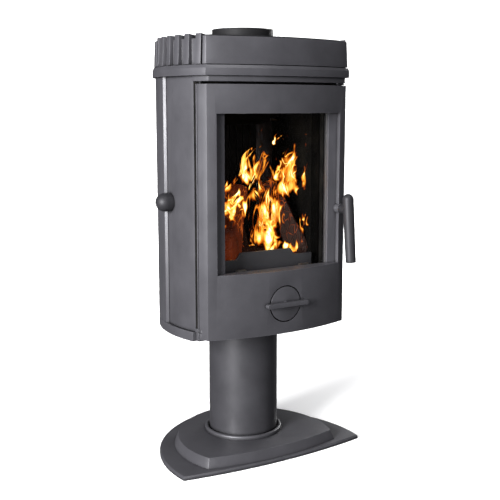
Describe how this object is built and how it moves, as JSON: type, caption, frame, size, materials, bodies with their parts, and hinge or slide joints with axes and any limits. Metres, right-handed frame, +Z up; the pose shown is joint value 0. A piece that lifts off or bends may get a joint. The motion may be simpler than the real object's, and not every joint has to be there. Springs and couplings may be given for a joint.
{
  "type": "wood burning stove",
  "caption": "Pedestal wood stove: bow-fronted cast body with a glass door, drop lever, round air control, ribbed crown, flue spigot, round column and shield-shaped foot.",
  "frame": {"origin": "on the floor, on the common axis of the column and the flue spigot", "axes": "+X to the right seen from the front, +Y from front to back, +Z up"},
  "size_m": [0.522, 0.4431, 1.05],
  "materials": {
    "anthracite_cast_iron": "fine-textured heat-resistant anthracite paint",
    "dark_cast_iron": "matt black stove paint and soot",
    "painted_column": "satin anthracite paint",
    "steel_fittings": "plain machined steel",
    "rope_seal": "knitted glass rope",
    "fire_brick": "pressed mineral board, coarse and matt",
    "door_glass": "clear heat-resistant ceramic glass"
  },
  "bodies": {
    "stove": {"base_plate": "anthracite_cast_iron", "base_foot": "anthracite_cast_iron", "foot_screws": "steel_fittings", "column_collar": "anthracite_cast_iron", "pedestal_column": "painted_column", "column_flange_lower": "painted_column", "column_flange_upper": "painted_column", "column_bolts_lower": "steel_fittings", "column_bolts_upper": "steel_fittings", "column_nuts": "steel_fittings", "hearth_plate": "anthracite_cast_iron", "front_frame": "dark_cast_iron", "lintel": "anthracite_cast_iron", "side_panel_left": "anthracite_cast_iron", "side_panel_right": "anthracite_cast_iron", "rear_casing": "anthracite_cast_iron", "side_knobs": "anthracite_cast_iron", "knob_studs": "steel_fittings", "tie_rods": "steel_fittings", "tie_rod_nuts": "steel_fittings", "roof_plate": "dark_cast_iron", "top_plate": "anthracite_cast_iron", "crown_fascia": "anthracite_cast_iron", "crown_plate": "dark_cast_iron", "crown_posts": "dark_cast_iron", "flue_spigot": "dark_cast_iron", "spigot_bolts": "steel_fittings", "firebox_deck": "dark_cast_iron", "grate": "dark_cast_iron", "log_retainer": "anthracite_cast_iron", "brick_left": "fire_brick", "brick_right": "fire_brick", "fireback": "dark_cast_iron", "baffle_plate": "fire_brick", "baffle_pegs": "steel_fittings", "ash_pan": "dark_cast_iron", "ash_pan_rails": "steel_fittings", "hinge_bracket": "anthracite_cast_iron", "bracket_screws": "steel_fittings", "hinge_pins": "steel_fittings", "catch_keeper": "steel_fittings"},
    "door": {"door_frame": "anthracite_cast_iron", "door_rope_seal": "rope_seal", "glass_tape_seal": "rope_seal", "door_glass": "door_glass", "glass_clips": "steel_fittings", "clip_screws": "steel_fittings"},
    "handle": {"handle_lever": "anthracite_cast_iron", "handle_spindle": "steel_fittings", "latch_cam": "steel_fittings", "cam_nut": "steel_fittings"},
    "air_control": {"air_disc": "anthracite_cast_iron", "air_spindle": "steel_fittings", "air_shutter": "dark_cast_iron", "air_nut": "steel_fittings"}
  },
  "joints": [
    {"name": "door_hinge", "type": "hinge", "parent": "stove", "child": "door", "pos_m": [-0.1965, -0.142, 0.62], "axis": [0, 0, -1], "range_deg": [0, 110]},
    {"name": "handle_turn", "type": "hinge", "parent": "door", "child": "handle", "pos_m": [0.176, -0.17, 0.617], "axis": [0, -1, 0], "range_deg": [0, 90]},
    {"name": "air_turn", "type": "hinge", "parent": "door", "child": "air_control", "pos_m": [0, -0.19, 0.402], "axis": [0, -1, 0], "range_deg": [0, 45]}
  ]
}
